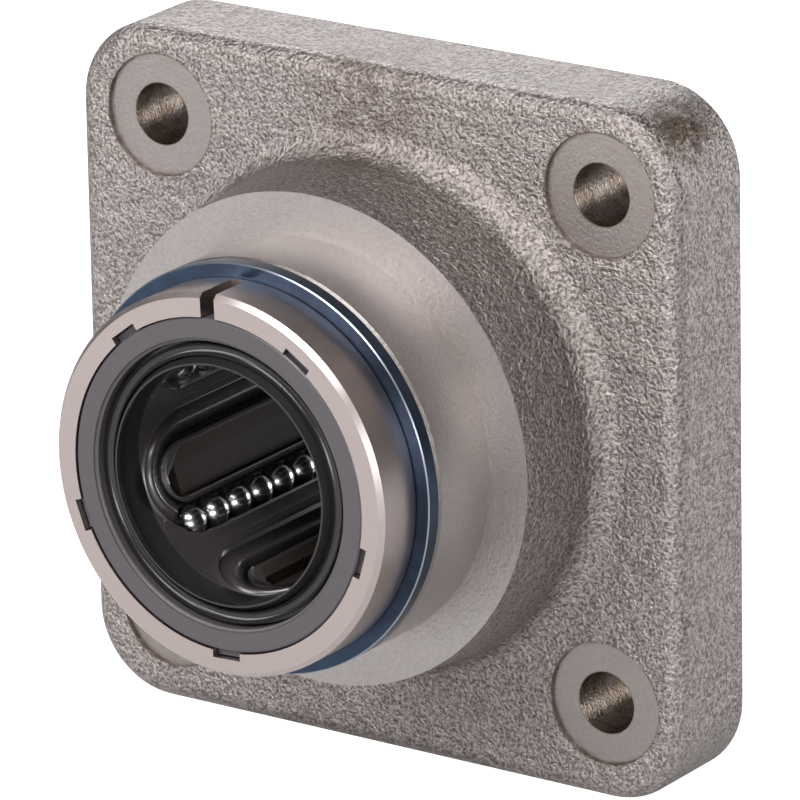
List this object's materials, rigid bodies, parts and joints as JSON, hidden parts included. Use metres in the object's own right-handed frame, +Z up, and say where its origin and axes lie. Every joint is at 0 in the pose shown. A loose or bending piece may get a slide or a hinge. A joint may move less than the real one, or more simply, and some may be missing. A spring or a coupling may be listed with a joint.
{
  "type": "linear bearing block",
  "caption": "Square flanged cast block with a round hub that clamps a recirculating ball bushing between snap rings; slides along a round shaft.",
  "frame": {"origin": "on the shaft axis, at the middle of the bushing's length", "axes": "+Y along the shaft axis, from the hub's nose at -Y to the mounting face's side; +Z up and +X to the right, both parallel to the flange's sides"},
  "size_m": [0.0737, 0.058, 0.0737],
  "materials": {
    "cast_housing": "as cast with turned faces, light tarnish",
    "ground_sleeve": "ground",
    "moulded_cage": "moulded, oiled",
    "moulded_end_ring": "satin",
    "wiper_seal": "satin",
    "spring_steel": "phosphated",
    "bearing_balls": "polished"
  },
  "bodies": {
    "root": {"flange_housing": "cast_housing", "outer_sleeve": "ground_sleeve", "ball_cage": "moulded_cage", "end_ring_front": "moulded_end_ring", "end_ring_back": "moulded_end_ring", "shaft_seal_front": "wiper_seal", "shaft_seal_back": "wiper_seal", "snap_ring_front": "spring_steel", "snap_ring_back": "spring_steel", "loaded_balls_1": "bearing_balls", "loaded_balls_2": "bearing_balls", "loaded_balls_3": "bearing_balls", "loaded_balls_4": "bearing_balls", "loaded_balls_5": "bearing_balls", "front_turn_balls_1": "bearing_balls", "front_turn_balls_2": "bearing_balls", "front_turn_balls_3": "bearing_balls", "front_turn_balls_4": "bearing_balls", "front_turn_balls_5": "bearing_balls", "return_balls_1": "bearing_balls", "return_balls_2": "bearing_balls", "return_balls_3": "bearing_balls", "return_balls_4": "bearing_balls", "return_balls_5": "bearing_balls", "back_turn_balls_1": "bearing_balls", "back_turn_balls_2": "bearing_balls", "back_turn_balls_3": "bearing_balls", "back_turn_balls_4": "bearing_balls", "back_turn_balls_5": "bearing_balls"}
  },
  "joints": []
}
